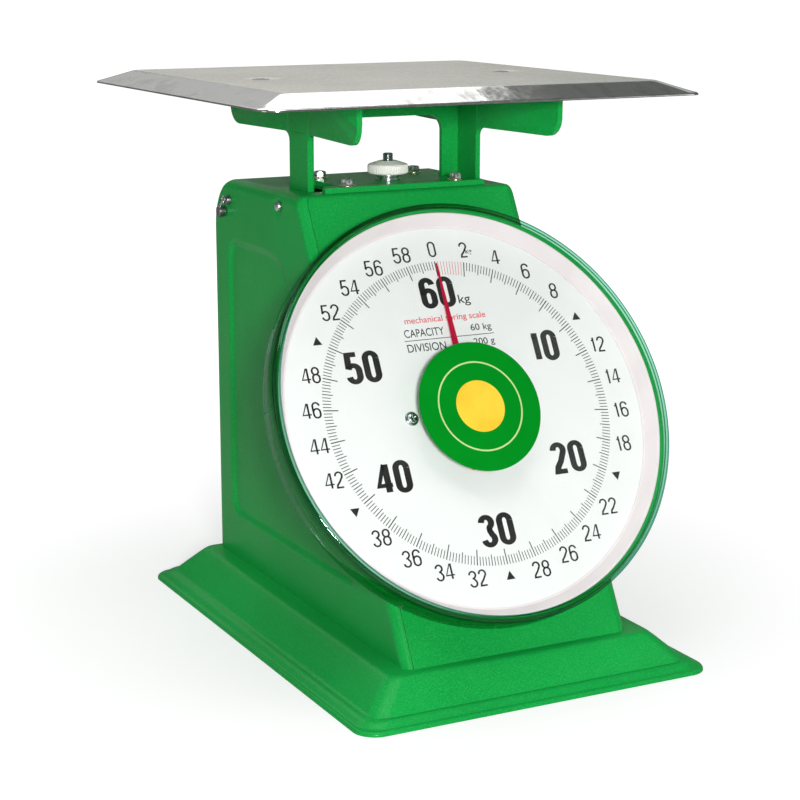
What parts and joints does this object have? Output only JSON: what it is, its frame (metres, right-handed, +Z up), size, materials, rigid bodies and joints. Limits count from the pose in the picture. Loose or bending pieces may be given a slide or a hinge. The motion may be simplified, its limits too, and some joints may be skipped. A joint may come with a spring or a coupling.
{
  "type": "mechanical dial platform scale",
  "caption": "Spring dial scale with a square steel platter on a sprung column, a tapered sheet-metal body, a large round leaning dial with a geared pointer, and a zero knob.",
  "frame": {"origin": "centre of the bounding box on the bench plane, below the middle of the scale", "axes": "+Z up, -Y towards the reader of the dial, +X to the reader's right"},
  "size_m": [0.34, 0.414, 0.413],
  "materials": {
    "green_paint": "glossy",
    "stainless": "satin",
    "zinc_steel": "satin",
    "spring_steel": "polished",
    "brass": "satin",
    "white_plastic": "glossy",
    "dial_white": "satin",
    "bezel_white": "satin",
    "pointer_red": "glossy",
    "clear_cover": "clear",
    "label_green": "glossy",
    "black_rubber": "matte",
    "seal_lead": "dull"
  },
  "bodies": {
    "frame": {"base_pan": "green_paint", "casing": "green_paint", "back_cover": "green_paint", "back_cover_screws": "zinc_steel", "base_screws": "zinc_steel", "base_nuts": "zinc_steel", "top_bridge": "green_paint", "bridge_washers": "zinc_steel", "bridge_screws": "zinc_steel", "side_screws": "zinc_steel", "knob_bush": "zinc_steel", "upper_lever_pin": "zinc_steel", "lower_lever_pin": "zinc_steel", "left_post": "zinc_steel", "right_post": "zinc_steel", "travel_stops": "black_rubber", "dial_drum": "green_paint", "drum_screws": "zinc_steel", "dial_standoffs": "zinc_steel", "dial_plate": "dial_white", "dial_washers": "zinc_steel", "dial_screws": "zinc_steel", "bezel_ring": "bezel_white", "lens_cover": "clear_cover", "lens_label": "label_green", "movement_front_plate": "zinc_steel", "movement_rear_plate": "zinc_steel", "movement_pillars": "zinc_steel", "front_bearing": "brass", "rear_bearing": "brass", "rack_guide": "zinc_steel", "seal_screw": "zinc_steel", "seal_wire": "zinc_steel", "seal_slug": "seal_lead", "left_spring": "spring_steel", "right_spring": "spring_steel"},
    "platform": {"platter": "stainless", "platter_screws": "zinc_steel", "platter_nuts": "zinc_steel", "left_support": "green_paint", "right_support": "green_paint", "cross_beam": "green_paint", "lower_yoke": "green_paint", "lower_spring_plugs": "zinc_steel", "guide_pins": "zinc_steel", "drive_arm": "zinc_steel"},
    "hanger": {"spring_hanger": "zinc_steel", "zero_stud": "zinc_steel", "upper_spring_plugs": "zinc_steel"},
    "knob": {"zero_knob": "white_plastic"},
    "pointer": {"pointer_shaft": "spring_steel", "pinion": "brass", "pointer": "pointer_red", "pointer_collar": "brass", "pointer_cap": "brass"},
    "rack": {"rack": "brass", "rack_pin": "spring_steel"},
    "upper_lever": {"upper_lever": "zinc_steel"},
    "lower_lever": {"lower_lever": "zinc_steel"}
  },
  "joints": [
    {"name": "platform_travel", "type": "slide", "parent": "frame", "child": "platform", "axis": [0, 0, -1], "range_m": [0, 0.03], "stiffness_N_per_m": 19620, "springref_m": -0.0025, "deforming": ["left_spring", "right_spring"]},
    {"name": "pointer_spin", "type": "hinge", "parent": "frame", "child": "pointer", "pos_m": [0, -0.08849, 0.17701], "axis": [0, 0.8746, -0.4848], "range_deg": [0, 361]},
    {"name": "rack_slide", "type": "slide", "parent": "frame", "child": "rack", "axis": [0, -0.4848, -0.8746], "range_m": [0, 0.0344]},
    {"name": "upper_lever_swing", "type": "hinge", "parent": "frame", "child": "upper_lever", "pos_m": [0, 0.12932, 0.247], "axis": [1, 0, 0], "range_deg": [0, 18.1]},
    {"name": "lower_lever_swing", "type": "hinge", "parent": "frame", "child": "lower_lever", "pos_m": [0, 0.12932, 0.089], "axis": [1, 0, 0], "range_deg": [0, 18.1]},
    {"name": "zero_turn", "type": "hinge", "parent": "frame", "child": "knob", "pos_m": [0, 0.031, 0.345], "axis": [0, 0, 1], "range_deg": [-721, 721]},
    {"name": "hanger_slide", "type": "slide", "parent": "frame", "child": "hanger", "axis": [0, 0, 1], "range_m": [-0.0025, 0.0025]}
  ],
  "couplings": [
    {"joint": "pointer_spin", "follows": "platform_travel", "rad_per_m": 209.44},
    {"joint": "rack_slide", "follows": "platform_travel", "ratio": 1.1434},
    {"joint": "upper_lever_swing", "follows": "platform_travel", "rad_per_m": 10.472},
    {"joint": "lower_lever_swing", "follows": "platform_travel", "rad_per_m": 10.472},
    {"joint": "zero_turn", "follows": "hanger_slide", "rad_per_m": -5026.5}
  ]
}
